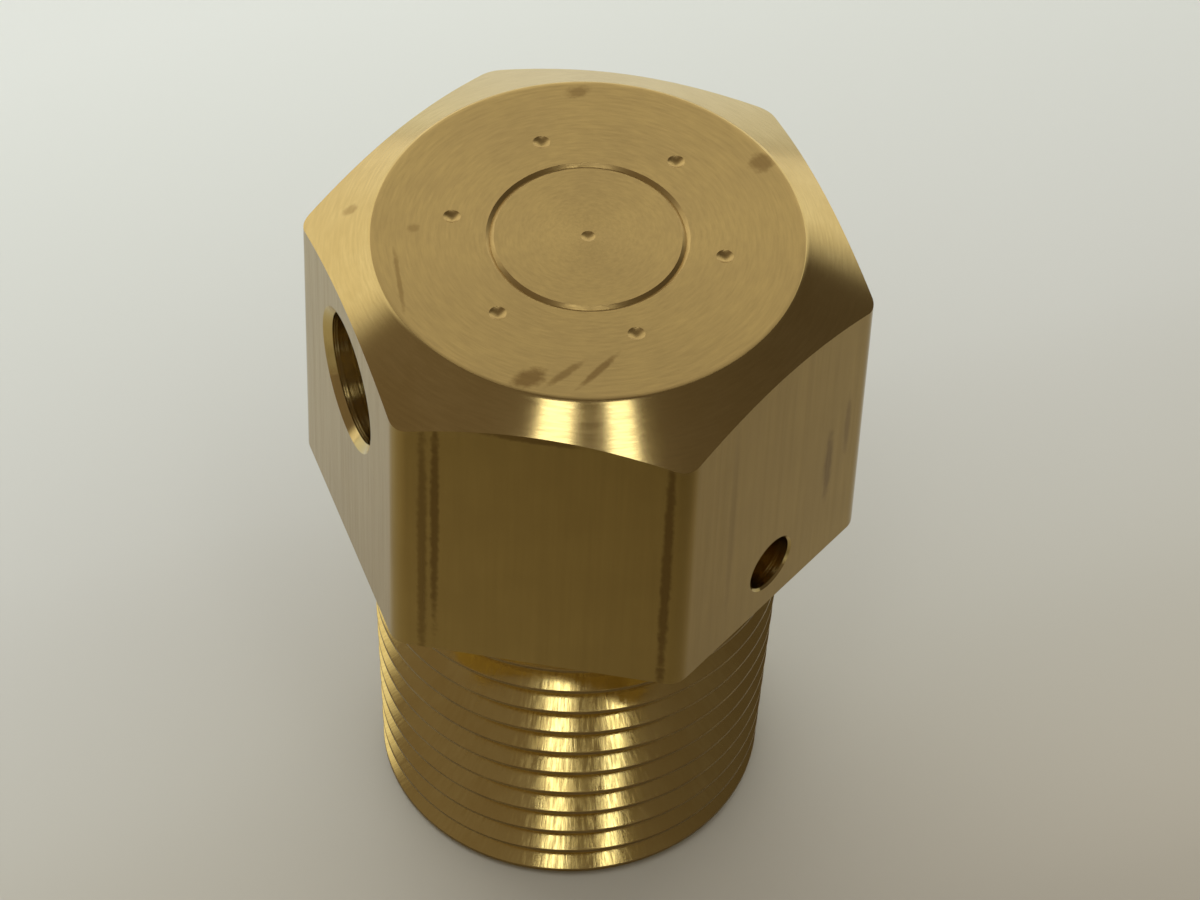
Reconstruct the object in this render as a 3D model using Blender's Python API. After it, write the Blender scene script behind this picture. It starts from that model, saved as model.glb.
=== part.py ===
"""Ball-check vent limiter: a hex head on a taper-threaded stem, with a large vent port and a small bleed port.

Air is drawn in freely through the vent port, down past the seat and the resting ball. Flow the other way lifts
the ball to its seat, and then only the jet in the bleed port lets a little out. It works upright only, so the
stem points down: +Z is up, and the origin is the centre of the stem's lower end.
"""

import math

import bmesh
import bpy

MM = 0.001

# Hex head
HEX_FLATS = 25.4 * MM
HEX_HEIGHT = 18.6 * MM
HEX_CORNER_RADIUS = 1.2 * MM
TOP_FACE_RADIUS = 10.85 * MM
TOP_CHAMFER_ANGLE = math.radians(30)

# Stem: a half-inch taper pipe thread, 14 to the inch and 1 in 16 on diameter
STEM_LENGTH = 21.3 * MM
STEM_TIP_RADIUS = 10.35 * MM
STEM_TAPER = 1 / 32
STEM_TIP_CHAMFER = 0.2 * MM
STEM_WALL = 2.9375 * MM
THREAD_PITCH = 1.8143 * MM
THREAD_DEPTH = 1.16 * MM
THREAD_CREST_WIDTH = 0.18 * MM
THREAD_ROOT_WIDTH = 0.13 * MM
THREAD_START_Z = 1.12 * MM
THREAD_RUNOUT_LENGTH = 2.4 * MM
THREAD_RUNOUT_DEPTH = 0.3 * MM

# Ports in the head
VENT_PORT_RADIUS = 3.45 * MM
VENT_PORT_BELOW_TOP = 6.2 * MM
VENT_PORT_DIRECTION = math.radians(180)
BLEED_PORT_RADIUS = 1.55 * MM
BLEED_PORT_ABOVE_HEX_BASE = 3.15 * MM
BLEED_PORT_DIRECTION = math.radians(300)
BLEED_INNER_RADIUS = 0.9 * MM
BLEED_INNER_WALL = 1.4 * MM
VENT_RIM_BREAK = 0.5 * MM
BLEED_RIM_BREAK = 0.12 * MM

# Ball and seat: with these clearances the ball is 9.525 mm across
BALL_SIDE_CLEARANCE = 1.75 * MM
BALL_LIFT = 5.0 * MM
SEAT_ANGLE = math.radians(45)
SEAT_INNER_LAND = 0.37 * MM
SEAT_OUTER_LAND = 0.95 * MM
SEAT_THROAT_LENGTH = 1.2 * MM
SEAT_RING_EDGE = 0.35 * MM

# Bores of the body
SEAT_SHOULDER_WIDTH = 1.5 * MM
VENT_SILL = 1.15 * MM
CROWN_THICKNESS = 1.6 * MM
DRILL_POINT_ANGLE = math.radians(118)
RETAINER_LEDGE = 0.9 * MM
MOUTH_CHAMFER = 0.5 * MM
GROOVE_DEPTH = 0.8 * MM

# Ball retainer
RETAINER_THICKNESS = 1.6 * MM
RETAINER_EDGE = 0.3 * MM
BALL_REST_RADIUS = 1.6 * MM
FLOW_HOLE_COUNT = 6
FLOW_HOLE_RIM = 1.0 * MM
FLOW_HOLE_WEB = 1.9125 * MM

# Retaining ring
SPRING_RING_THICKNESS = 1.0 * MM
SPRING_RING_WIDTH = 1.3 * MM
SPRING_RING_OPENING = math.radians(48)
LUG_RADIUS = 1.25 * MM
LUG_INSET = 0.15 * MM
LUG_HOLE_RADIUS = 0.5 * MM

# Bleed jet
JET_LENGTH = 2.0 * MM
JET_BORE_RADIUS = 0.3 * MM
JET_ENTRY_DEPTH = 0.35 * MM
JET_EDGE = 0.2 * MM

# Gap between pieces that seat on each other
FIT_GAP = 0.3 * MM

# Facets and cutter overshoot
ROUND_STEPS = 72
SMALL_ROUND_STEPS = 32
BALL_RINGS = 20
CORNER_STEPS = 4
ARC_STEPS = 44
THREAD_COLUMNS = 48
HALF_FACET = math.pi / ROUND_STEPS
SMALL_HALF_FACET = math.pi / SMALL_ROUND_STEPS
OVERSHOOT = 1.0 * MM
MERGE_DISTANCE = 0.001 * MM

# Heights and radii that follow from the sizes above
FACE_DISTANCE = HEX_FLATS / 2
HEX_BASE_Z = STEM_LENGTH
TOP_Z = STEM_LENGTH + HEX_HEIGHT
STEM_BASE_RADIUS = STEM_TIP_RADIUS + STEM_LENGTH * STEM_TAPER

INLET_RADIUS = STEM_TIP_RADIUS - STEM_WALL
GROOVE_RADIUS = INLET_RADIUS + GROOVE_DEPTH
CHAMBER_RADIUS = INLET_RADIUS - RETAINER_LEDGE
VENT_CHAMBER_RADIUS = CHAMBER_RADIUS - SEAT_SHOULDER_WIDTH
BALL_RADIUS = CHAMBER_RADIUS - BALL_SIDE_CLEARANCE

VENT_PORT_Z = TOP_Z - VENT_PORT_BELOW_TOP
BLEED_PORT_Z = HEX_BASE_Z + BLEED_PORT_ABOVE_HEX_BASE
SEAT_SHOULDER_Z = VENT_PORT_Z - VENT_PORT_RADIUS - VENT_SILL
CROWN_Z = TOP_Z - CROWN_THICKNESS
DRILL_SHOULDER_Z = CROWN_Z - VENT_CHAMBER_RADIUS / math.tan(DRILL_POINT_ANGLE / 2)

CONTACT_RADIUS = BALL_RADIUS * math.cos(SEAT_ANGLE)
SEAT_BORE_RADIUS = CONTACT_RADIUS - SEAT_INNER_LAND
SEAT_MOUTH_RADIUS = CONTACT_RADIUS + SEAT_OUTER_LAND
SEAT_TOP_Z = SEAT_SHOULDER_Z - FIT_GAP
SEAT_THROAT_Z = SEAT_TOP_Z - SEAT_THROAT_LENGTH
SEAT_BASE_Z = SEAT_THROAT_Z - (SEAT_MOUTH_RADIUS - SEAT_BORE_RADIUS) / math.tan(SEAT_ANGLE)
CONTACT_Z = SEAT_THROAT_Z - SEAT_INNER_LAND / math.tan(SEAT_ANGLE)
BALL_CLOSED_Z = CONTACT_Z - BALL_RADIUS * math.sin(SEAT_ANGLE)
BALL_REST_Z = BALL_CLOSED_Z - FIT_GAP - BALL_LIFT

RETAINER_TOP_Z = BALL_REST_Z - FIT_GAP - math.sqrt(BALL_RADIUS**2 - BALL_REST_RADIUS**2)
RETAINER_BASE_Z = RETAINER_TOP_Z - RETAINER_THICKNESS
RETAINER_RADIUS = INLET_RADIUS - FIT_GAP
LEDGE_Z = RETAINER_TOP_Z + FIT_GAP
FLOW_HOLE_RADIUS = (RETAINER_RADIUS - FLOW_HOLE_RIM - FLOW_HOLE_WEB - BALL_REST_RADIUS) / 2
FLOW_HOLE_PITCH_RADIUS = RETAINER_RADIUS - FLOW_HOLE_RIM - FLOW_HOLE_RADIUS
SPRING_RING_TOP_Z = RETAINER_BASE_Z - FIT_GAP
SPRING_RING_BASE_Z = SPRING_RING_TOP_Z - SPRING_RING_THICKNESS
SPRING_RING_RADIUS = GROOVE_RADIUS - FIT_GAP
GROOVE_TOP_Z = SPRING_RING_TOP_Z + FIT_GAP
GROOVE_BASE_Z = SPRING_RING_BASE_Z - FIT_GAP

JET_SEAT_DISTANCE = CHAMBER_RADIUS + BLEED_INNER_WALL
JET_INNER_DISTANCE = JET_SEAT_DISTANCE + FIT_GAP
JET_RADIUS = BLEED_PORT_RADIUS - FIT_GAP


def clear_scene():
    for item in list(bpy.data.objects):
        bpy.data.objects.remove(item, do_unlink=True)


def metal(name, colour, roughness):
    """A plain metal: the body's brass, the jet's brass, the ball's steel and so on."""
    material = bpy.data.materials.new(name)
    material.use_nodes = True
    shader = material.node_tree.nodes["Principled BSDF"]
    shader.inputs["Base Color"].default_value = (*colour, 1.0)
    shader.inputs["Metallic"].default_value = 1.0
    shader.inputs["Roughness"].default_value = roughness
    return material


def finish_mesh(bm, name):
    """Turn a bmesh into a smooth-shaded object with its faces pointing out."""
    bmesh.ops.remove_doubles(bm, verts=bm.verts, dist=MERGE_DISTANCE)
    bmesh.ops.recalc_face_normals(bm, faces=bm.faces)
    mesh = bpy.data.meshes.new(name)
    bm.to_mesh(mesh)
    bm.free()
    mesh.shade_smooth()
    mesh.set_sharp_from_angle(angle=math.radians(25))
    item = bpy.data.objects.new(name, mesh)
    bpy.context.scene.collection.objects.link(item)
    return item


def turned(name, profile, steps=ROUND_STEPS, start=0.0):
    """A closed profile of (radius, height) points, turned once round the Z axis.

    Cutters start half a facet round, so that their edges don't run along those of what they cut.
    """
    bm = bmesh.new()
    across, along = math.cos(start), math.sin(start)
    corners = [bm.verts.new((radius * across, radius * along, height)) for radius, height in profile]
    edges = [
        bm.edges.new((corner, corners[(index + 1) % len(corners)]))
        for index, corner in enumerate(corners)
        if not on_axis(corner, corners[(index + 1) % len(corners)])
    ]
    bmesh.ops.spin(
        bm,
        geom=corners + edges,
        cent=(0, 0, 0),
        axis=(0, 0, 1),
        angle=math.tau,
        steps=steps,
        use_merge=True,
    )
    return finish_mesh(bm, name)


def on_axis(first, second):
    """Whether the profile's edge runs along the axis itself, where turning it makes no surface."""
    return first.co.x == 0 and second.co.x == 0


def prism(name, outline, low_z, high_z):
    """A flat outline of (x, y) points, extruded from one height to another."""
    bm = bmesh.new()
    base = bm.faces.new([bm.verts.new((x, y, low_z)) for x, y in outline])
    raised = bmesh.ops.extrude_face_region(bm, geom=[base])["geom"]
    lifted = [element for element in raised if isinstance(element, bmesh.types.BMVert)]
    bmesh.ops.translate(bm, verts=lifted, vec=(0, 0, high_z - low_z))
    return finish_mesh(bm, name)


def as_guide(item):
    """Mark an object that only shapes another one."""
    item.hide_render = True
    item.display_type = "WIRE"
    return item


def combine(item, operation, guide):
    modifier = item.modifiers.new(guide.name, "BOOLEAN")
    modifier.operation = operation
    modifier.object = as_guide(guide)


def aim_outward(item, direction, height):
    """Lay a piece that was turned round Z along a horizontal line out from the body's axis."""
    item.location = (0, 0, height)
    item.rotation_euler = (0, math.pi / 2, direction)


def arc(centre_x, centre_y, radius, start, end, steps):
    """Points along an arc, both ends included."""
    points = []
    for step in range(steps + 1):
        angle = start + (end - start) * step / steps
        points.append((centre_x + radius * math.cos(angle), centre_y + radius * math.sin(angle)))
    return points


def hex_outline():
    """A hexagon with flats at +X and -X and with rounded corners."""
    reach = (FACE_DISTANCE - HEX_CORNER_RADIUS) / math.cos(math.pi / 6)
    points = []
    for corner in range(6):
        angle = math.radians(30 + 60 * corner)
        points += arc(
            reach * math.cos(angle),
            reach * math.sin(angle),
            HEX_CORNER_RADIUS,
            angle - math.pi / 6,
            angle + math.pi / 6,
            CORNER_STEPS,
        )
    return points


def chamfer_envelope():
    """A turned solid whose sloping top cuts the head's corners down to the round top face."""
    reach = FACE_DISTANCE / math.cos(math.pi / 6) + OVERSHOOT
    rim_z = TOP_Z - (reach - TOP_FACE_RADIUS) * math.tan(TOP_CHAMFER_ANGLE)
    low_z = HEX_BASE_Z - OVERSHOOT
    profile = [(0, low_z), (reach, low_z), (reach, rim_z), (TOP_FACE_RADIUS, TOP_Z), (0, TOP_Z)]
    return turned("chamfer_envelope", profile, start=HALF_FACET)


def thread_depth(z):
    """Depth below the crests: full along the stem, and shallower where the die stops under the head."""
    share = min(max((HEX_BASE_Z - z) / THREAD_RUNOUT_LENGTH, 0), 1)
    return THREAD_RUNOUT_DEPTH + share * (THREAD_DEPTH - THREAD_RUNOUT_DEPTH)


def thread_corners():
    """The thread's form over one pitch: (height, share of the depth), up from the lower edge of a crest."""
    flank = (THREAD_PITCH - THREAD_CREST_WIDTH - THREAD_ROOT_WIDTH) / 2
    root = THREAD_CREST_WIDTH + flank
    return [(0, 0), (THREAD_CREST_WIDTH, 0), (root, 1), (root + THREAD_ROOT_WIDTH, 1)]


def thread_share(rise):
    """The share of the depth at a height above a crest's lower edge, between the form's corners."""
    corners = thread_corners() + [(THREAD_PITCH, 0)]
    for (low, low_share), (high, high_share) in zip(corners, corners[1:]):
        if rise <= high:
            return low_share + (high_share - low_share) * (rise - low) / (high - low)
    return 0


def thread_point(angle, z):
    helix_z = THREAD_START_Z + THREAD_PITCH * angle / math.tau
    share = thread_share((z - helix_z) % THREAD_PITCH)
    radius = STEM_TIP_RADIUS + z * STEM_TAPER - share * thread_depth(z)
    return radius * math.cos(angle), radius * math.sin(angle), z


def thread_column(bm, angle, low_z, high_z):
    """The corners of every turn at one angle; those past an end of the rod share that end's vertex."""
    base = bm.verts.new(thread_point(angle, low_z))
    lid = bm.verts.new(thread_point(angle, high_z))
    first_turn = math.floor((low_z - THREAD_START_Z) / THREAD_PITCH) - 1
    last_turn = math.ceil((high_z - THREAD_START_Z) / THREAD_PITCH)
    column = []
    for turn in range(first_turn, last_turn + 1):
        helix_z = THREAD_START_Z + THREAD_PITCH * (turn + angle / math.tau)
        for rise, _ in thread_corners():
            z = helix_z + rise
            if z <= low_z:
                column.append(base)
            elif z >= high_z:
                column.append(lid)
            else:
                column.append(bm.verts.new(thread_point(angle, z)))
    return column


def threaded_rod(low_z, high_z):
    """A closed tapered rod whose rows of corners climb a right-hand helix and meet one pitch up."""
    bm = bmesh.new()
    angles = [math.tau * (step + 0.5) / THREAD_COLUMNS for step in range(THREAD_COLUMNS)]
    columns = [thread_column(bm, angle, low_z, high_z) for angle in angles]
    bm.faces.new([column[0] for column in columns])
    bm.faces.new([column[-1] for column in columns])
    rows_per_turn = len(thread_corners())
    first = columns[0]
    columns.append(first[rows_per_turn:] + [first[-1]] * rows_per_turn)
    for left, right in zip(columns, columns[1:]):
        for row in range(len(left) - 1):
            corners = dict.fromkeys([left[row], right[row], right[row + 1], left[row + 1]])
            if len(corners) > 2:
                bm.faces.new(list(corners))
    return finish_mesh(bm, "threaded_rod")


def tip_envelope(high_z):
    """A turned solid that cuts the rod off square at its lower end and breaks the corner there."""
    tip = STEM_TIP_RADIUS - STEM_TIP_CHAMFER
    reach = STEM_BASE_RADIUS + OVERSHOOT
    profile = [(0, 0), (tip, 0), (reach, reach - tip), (reach, high_z), (0, high_z)]
    return turned("tip_envelope", profile, start=HALF_FACET)


def stem():
    """The threaded stem, run up a little into the head so that the two join inside it."""
    item = threaded_rod(-OVERSHOOT, HEX_BASE_Z + OVERSHOOT)
    combine(item, "INTERSECT", tip_envelope(HEX_BASE_Z + 2 * OVERSHOOT))
    return item


def body_bore():
    """Every bore that is machined from the stem's end: inlet, groove, ball chamber and vent chamber."""
    profile = [
        (0, -OVERSHOOT),
        (INLET_RADIUS + MOUTH_CHAMFER + OVERSHOOT, -OVERSHOOT),
        (INLET_RADIUS, MOUTH_CHAMFER),
        (INLET_RADIUS, GROOVE_BASE_Z),
        (GROOVE_RADIUS, GROOVE_BASE_Z),
        (GROOVE_RADIUS, GROOVE_TOP_Z),
        (INLET_RADIUS, GROOVE_TOP_Z),
        (INLET_RADIUS, LEDGE_Z),
        (CHAMBER_RADIUS, LEDGE_Z),
        (CHAMBER_RADIUS, SEAT_SHOULDER_Z),
        (VENT_CHAMBER_RADIUS, SEAT_SHOULDER_Z),
        (VENT_CHAMBER_RADIUS, DRILL_SHOULDER_Z),
        (0, CROWN_Z),
    ]
    return turned("body_bore", profile)


def port_tool(name, inner, bore_radius, rim_break):
    """A drill with a countersink: it cuts from its inner points out through a flat of the head."""
    reach = FACE_DISTANCE + OVERSHOOT
    outer = [
        (bore_radius, FACE_DISTANCE - rim_break),
        (bore_radius + rim_break + OVERSHOOT, reach),
        (0, reach),
    ]
    return turned(name, inner + outer, SMALL_ROUND_STEPS, SMALL_HALF_FACET)


def vent_tool():
    inner = [(0, 0), (VENT_PORT_RADIUS, 0)]
    item = port_tool("vent_tool", inner, VENT_PORT_RADIUS, VENT_RIM_BREAK)
    aim_outward(item, VENT_PORT_DIRECTION, VENT_PORT_Z)
    return item


def bleed_tool():
    """A stepped drill: its narrow end opens into the ball chamber, and the step carries the jet."""
    start = CHAMBER_RADIUS / 2
    inner = [
        (0, start),
        (BLEED_INNER_RADIUS, start),
        (BLEED_INNER_RADIUS, JET_SEAT_DISTANCE),
        (BLEED_PORT_RADIUS, JET_SEAT_DISTANCE),
    ]
    item = port_tool("bleed_tool", inner, BLEED_PORT_RADIUS, BLEED_RIM_BREAK)
    aim_outward(item, BLEED_PORT_DIRECTION, BLEED_PORT_Z)
    return item


def hex_body():
    item = prism("hex_body", hex_outline(), HEX_BASE_Z, TOP_Z + OVERSHOOT)
    combine(item, "INTERSECT", chamfer_envelope())
    combine(item, "UNION", stem())
    combine(item, "DIFFERENCE", body_bore())
    combine(item, "DIFFERENCE", vent_tool())
    combine(item, "DIFFERENCE", bleed_tool())
    return item


def seat_ring():
    outer = CHAMBER_RADIUS - FIT_GAP
    profile = [
        (SEAT_BORE_RADIUS, SEAT_TOP_Z),
        (SEAT_BORE_RADIUS, SEAT_THROAT_Z),
        (SEAT_MOUTH_RADIUS, SEAT_BASE_Z),
        (outer, SEAT_BASE_Z),
        (outer, SEAT_TOP_Z - SEAT_RING_EDGE),
        (outer - SEAT_RING_EDGE, SEAT_TOP_Z),
    ]
    return turned("seat_ring", profile)


def check_ball():
    """The ball, with its origin at its centre, on the body's axis."""
    bm = bmesh.new()
    bmesh.ops.create_uvsphere(bm, u_segments=2 * BALL_RINGS, v_segments=BALL_RINGS, radius=BALL_RADIUS)
    item = finish_mesh(bm, "check_ball")
    item.location = (0, 0, BALL_REST_Z)
    return item


def ball_retainer():
    """A disc with a centre hole that the ball sits on, and a ring of holes that stay open round it."""
    inner = RETAINER_RADIUS - RETAINER_EDGE
    profile = [
        (BALL_REST_RADIUS, RETAINER_BASE_Z),
        (inner, RETAINER_BASE_Z),
        (RETAINER_RADIUS, RETAINER_BASE_Z + RETAINER_EDGE),
        (RETAINER_RADIUS, RETAINER_TOP_Z - RETAINER_EDGE),
        (inner, RETAINER_TOP_Z),
        (BALL_REST_RADIUS, RETAINER_TOP_Z),
    ]
    item = turned("ball_retainer", profile, start=HALF_FACET)
    for hole in range(FLOW_HOLE_COUNT):
        drill = cylinder(f"flow_drill_{hole}", FLOW_HOLE_RADIUS, RETAINER_BASE_Z, RETAINER_TOP_Z)
        place_round(drill, FLOW_HOLE_PITCH_RADIUS, math.tau * hole / FLOW_HOLE_COUNT)
        combine(item, "DIFFERENCE", drill)
    return item


def cylinder(name, radius, low_z, high_z):
    """A round cutter that passes a little beyond both heights."""
    outline = arc(0, 0, radius, 0, math.tau, SMALL_ROUND_STEPS)[:-1]
    return prism(name, outline, low_z - OVERSHOOT, high_z + OVERSHOOT)


def place_round(item, radius, angle):
    item.location = (radius * math.cos(angle), radius * math.sin(angle), 0)


def lug_places():
    """The centres of the ring's two lugs, as (radius, angle) pairs either side of its opening."""
    radius = SPRING_RING_RADIUS - LUG_INSET - LUG_RADIUS
    half_opening = SPRING_RING_OPENING / 2
    return [(radius, half_opening), (radius, -half_opening)]


def retaining_ring():
    """An open spring ring: widest opposite its opening, with a lug and a tool hole at each end."""
    start = SPRING_RING_OPENING / 2
    end = math.tau - start
    outline = arc(0, 0, SPRING_RING_RADIUS, start, end, ARC_STEPS)
    inner = SPRING_RING_RADIUS - SPRING_RING_WIDTH
    outline += arc(0, 0, inner, end, start, ARC_STEPS)
    item = prism("retaining_ring", outline, SPRING_RING_BASE_Z, SPRING_RING_TOP_Z)
    for side, (radius, angle) in zip(("left", "right"), lug_places()):
        round_lug = arc(0, 0, LUG_RADIUS, 0, math.tau, SMALL_ROUND_STEPS)[:-1]
        lug = prism(f"lug_{side}", round_lug, SPRING_RING_BASE_Z, SPRING_RING_TOP_Z)
        place_round(lug, radius, angle)
        combine(item, "UNION", lug)
    for side, (radius, angle) in zip(("left", "right"), lug_places()):
        drill = cylinder(f"lug_drill_{side}", LUG_HOLE_RADIUS, SPRING_RING_BASE_Z, SPRING_RING_TOP_Z)
        place_round(drill, radius, angle)
        combine(item, "DIFFERENCE", drill)
    return item


def bleed_jet():
    """The metering jet, turned about its own axis with its inner end at the step of the bleed port."""
    start = JET_INNER_DISTANCE
    end = JET_INNER_DISTANCE + JET_LENGTH
    profile = [
        (JET_BORE_RADIUS, start),
        (JET_RADIUS - JET_EDGE, start),
        (JET_RADIUS, start + JET_EDGE),
        (JET_RADIUS, end),
        (JET_BORE_RADIUS + JET_ENTRY_DEPTH, end),
        (JET_BORE_RADIUS, end - JET_ENTRY_DEPTH),
    ]
    item = turned("bleed_jet", profile, SMALL_ROUND_STEPS)
    aim_outward(item, BLEED_PORT_DIRECTION, BLEED_PORT_Z)
    return item


def build():
    clear_scene()
    finishes = [
        (hex_body(), metal("body_brass", (0.56, 0.42, 0.17), 0.34)),
        (seat_ring(), metal("seat_brass", (0.62, 0.47, 0.2), 0.2)),
        (check_ball(), metal("ball_steel", (0.62, 0.61, 0.59), 0.12)),
        (ball_retainer(), metal("retainer_steel", (0.5, 0.5, 0.49), 0.35)),
        (retaining_ring(), metal("spring_steel", (0.2, 0.19, 0.18), 0.42)),
        (bleed_jet(), metal("jet_brass", (0.64, 0.48, 0.2), 0.25)),
    ]
    for item, material in finishes:
        item.data.materials.append(material)


build()
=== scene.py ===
"""Looks of the ball-check vent limiter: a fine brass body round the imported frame, and its finishes."""

import math
from dataclasses import dataclass

import bmesh
import bpy
from mathutils import Matrix, Vector

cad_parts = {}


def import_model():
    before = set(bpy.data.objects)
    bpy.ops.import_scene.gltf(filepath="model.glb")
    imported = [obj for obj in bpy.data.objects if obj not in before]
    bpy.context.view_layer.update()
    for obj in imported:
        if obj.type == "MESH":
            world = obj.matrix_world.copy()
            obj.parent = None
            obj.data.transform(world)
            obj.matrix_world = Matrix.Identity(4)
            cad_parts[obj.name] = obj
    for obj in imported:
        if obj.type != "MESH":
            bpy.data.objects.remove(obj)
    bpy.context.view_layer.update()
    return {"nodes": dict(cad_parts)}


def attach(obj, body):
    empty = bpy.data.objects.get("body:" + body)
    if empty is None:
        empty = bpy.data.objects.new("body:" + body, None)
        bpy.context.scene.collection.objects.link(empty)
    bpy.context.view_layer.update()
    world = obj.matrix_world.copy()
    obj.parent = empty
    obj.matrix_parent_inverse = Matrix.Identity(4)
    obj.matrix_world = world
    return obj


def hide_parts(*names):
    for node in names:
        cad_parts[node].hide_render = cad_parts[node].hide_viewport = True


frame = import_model()

MM = 0.001

# Head
HEX_FLATS = 25.4 * MM
HEX_HEIGHT = 18.6 * MM
HEX_CORNER_RADIUS = 1.2 * MM
HEX_BASE_BREAK = 0.12 * MM
TOP_FACE_RADIUS = 10.85 * MM
TOP_CHAMFER_ANGLE = math.radians(30)
TOP_EDGE_ROUND = 0.04 * MM
TOP_EDGE_DROP = 0.2 * TOP_EDGE_ROUND
EDGE_SUPPORT = 0.15 * MM

# Stem and its taper pipe thread
STEM_LENGTH = 21.3 * MM
STEM_TIP_RADIUS = 10.35 * MM
STEM_TAPER = 1 / 32
STEM_TIP_CHAMFER = 0.2 * MM
STEM_WALL = 2.9375 * MM
THREAD_PITCH = 1.8143 * MM
THREAD_DEPTH = 1.16 * MM
THREAD_CREST_WIDTH = 0.18 * MM
THREAD_ROOT_WIDTH = 0.13 * MM
THREAD_CREST_ROUND = 0.015 * MM
THREAD_CREST_DROP = 0.3 * THREAD_CREST_ROUND
THREAD_START_Z = 1.12 * MM
THREAD_RUNOUT_LENGTH = 2.4 * MM
THREAD_RUNOUT_DEPTH = 0.3 * MM

# Ports
VENT_PORT_RADIUS = 3.45 * MM
VENT_PORT_BELOW_TOP = 6.2 * MM
VENT_PORT_DIRECTION = math.radians(180)
VENT_RIM_BREAK = 0.38 * MM
BLEED_PORT_RADIUS = 1.55 * MM
BLEED_PORT_ABOVE_HEX_BASE = 3.15 * MM
BLEED_PORT_DIRECTION = math.radians(300)
BLEED_RIM_BREAK = 0.12 * MM
BLEED_INNER_RADIUS = 0.9 * MM
BLEED_INNER_WALL = 1.4 * MM

# Bores
RETAINER_LEDGE = 0.9 * MM
SEAT_SHOULDER_WIDTH = 1.5 * MM
VENT_SILL = 1.15 * MM
CROWN_THICKNESS = 1.6 * MM
DRILL_POINT_ANGLE = math.radians(118)
LEDGE_Z = 14.077 * MM
GROOVE_TOP_Z = 12.177 * MM
GROOVE_BASE_Z = 10.577 * MM
GROOVE_DEPTH = 0.8 * MM
MOUTH_CHAMFER = 0.5 * MM

# Stamped mark on the top face: a plain ring with six punched dots round it, and a centre punch
MARK_RING_RADIUS = 4.9 * MM
MARK_DOT_COUNT = 6
MARK_DOT_DISTANCE = 6.9 * MM
MARK_DOT_RADIUS = 0.44 * MM
MARK_DOT_DEPTH = 0.26 * MM
MARK_DOT_STEPS = 32
MARK_STROKE = 0.4 * MM
MARK_DEPTH = 0.13 * MM
PUNCH_RADIUS = 0.36 * MM
PUNCH_DEPTH = 0.17 * MM

# Facets, shading and cutter overshoot
ROUND_STEPS = 192
PORT_STEPS = 96
CORNER_STEPS = 10
THREAD_COLUMNS = 240
SMOOTHING_ANGLE = math.radians(22)
HALF_FACET = math.pi / ROUND_STEPS
HALF_PORT_FACET = math.pi / PORT_STEPS
OVERSHOOT = 1.0 * MM
MERGE_DISTANCE = 0.0005 * MM

# What tells the body's kinds of face apart: a margin, the room round the groove, and the normal's upward
# share, which is below the first limit on a crest or root and above the second on the chamfer
SURFACE_MARGIN = 0.02 * MM
GROOVE_SURROUND = 0.5 * MM
CREST_NORMAL_LIMIT = 0.4
CHAMFER_NORMAL_LIMIT = 0.5

# Heights and radii that follow from the sizes above
FACE_DISTANCE = HEX_FLATS / 2
CORNER_REACH = (FACE_DISTANCE - HEX_CORNER_RADIUS) / math.cos(math.pi / 6)
HEX_BASE_Z = STEM_LENGTH
TOP_Z = STEM_LENGTH + HEX_HEIGHT
STEM_BASE_RADIUS = STEM_TIP_RADIUS + STEM_LENGTH * STEM_TAPER
INLET_RADIUS = STEM_TIP_RADIUS - STEM_WALL
GROOVE_RADIUS = INLET_RADIUS + GROOVE_DEPTH
CHAMBER_RADIUS = INLET_RADIUS - RETAINER_LEDGE
VENT_CHAMBER_RADIUS = CHAMBER_RADIUS - SEAT_SHOULDER_WIDTH
VENT_PORT_Z = TOP_Z - VENT_PORT_BELOW_TOP
BLEED_PORT_Z = HEX_BASE_Z + BLEED_PORT_ABOVE_HEX_BASE
SEAT_SHOULDER_Z = VENT_PORT_Z - VENT_PORT_RADIUS - VENT_SILL
CROWN_Z = TOP_Z - CROWN_THICKNESS
DRILL_SHOULDER_Z = CROWN_Z - VENT_CHAMBER_RADIUS / math.tan(DRILL_POINT_ANGLE / 2)
JET_SEAT_DISTANCE = CHAMBER_RADIUS + BLEED_INNER_WALL

# Camera, from the fit of the photograph
SENSOR_WIDTH = 36.0
CAMERA_LENS = 145.82
CAMERA_LOCATION = Vector((-61.306, -154.562, 215.58)) * MM
CAMERA_RIGHT = Vector((0.93866, -0.34367, 0.02854))
CAMERA_UP = Vector((0.24238, 0.71634, 0.6543))
CAMERA_CLIP = (0.01, 10)

# Ceiling lamps at one height over the object, as (metres to the right, metres towards the camera, turn,
# width, length)
CEILING_HEIGHT = 1.0
CEILING_LAMPS = {
    "lamp_left": (-0.118, 0.445, math.radians(-4), 0.15, 0.38),
    "lamp_right": (0.211, 0.42, math.radians(20), 0.11, 0.42),
}
CEILING_LAMP_RADIANCE = 2.8

# Soft lamps, which light the backdrop but show in no reflection, as (place, size, radiance)
SOFT_LAMPS = {
    "soft_overhead": ((0.0, -0.35, 1.05), 1.4, 1.17),
    "soft_behind": ((-0.1, 0.55, 0.5), 0.6, 1.6),
}
SOFT_LAMP_COLOUR = (0.94, 1.0, 1.05)

# Room: dim and warm overhead, less so to the left, and pale low down behind the object. Its fades are spans
# of height, where the pale part ends, and of closeness to the bright side, where it begins
ROOM_OVERHEAD = 0.16
ROOM_OVERHEAD_SLANT = -0.07
ROOM_OVERHEAD_COLOUR = (1.0, 0.78, 0.6, 1)
ROOM_HORIZON = 0.95
ROOM_HORIZON_COLOUR = (1.0, 0.98, 0.93, 1)
ROOM_HORIZON_FADE = (0.6, 0.9)
ROOM_BRIGHT_SIDE = (0.168, 0.986, 0)
ROOM_SIDE_FADE = (0.48, 0.67)

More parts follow.
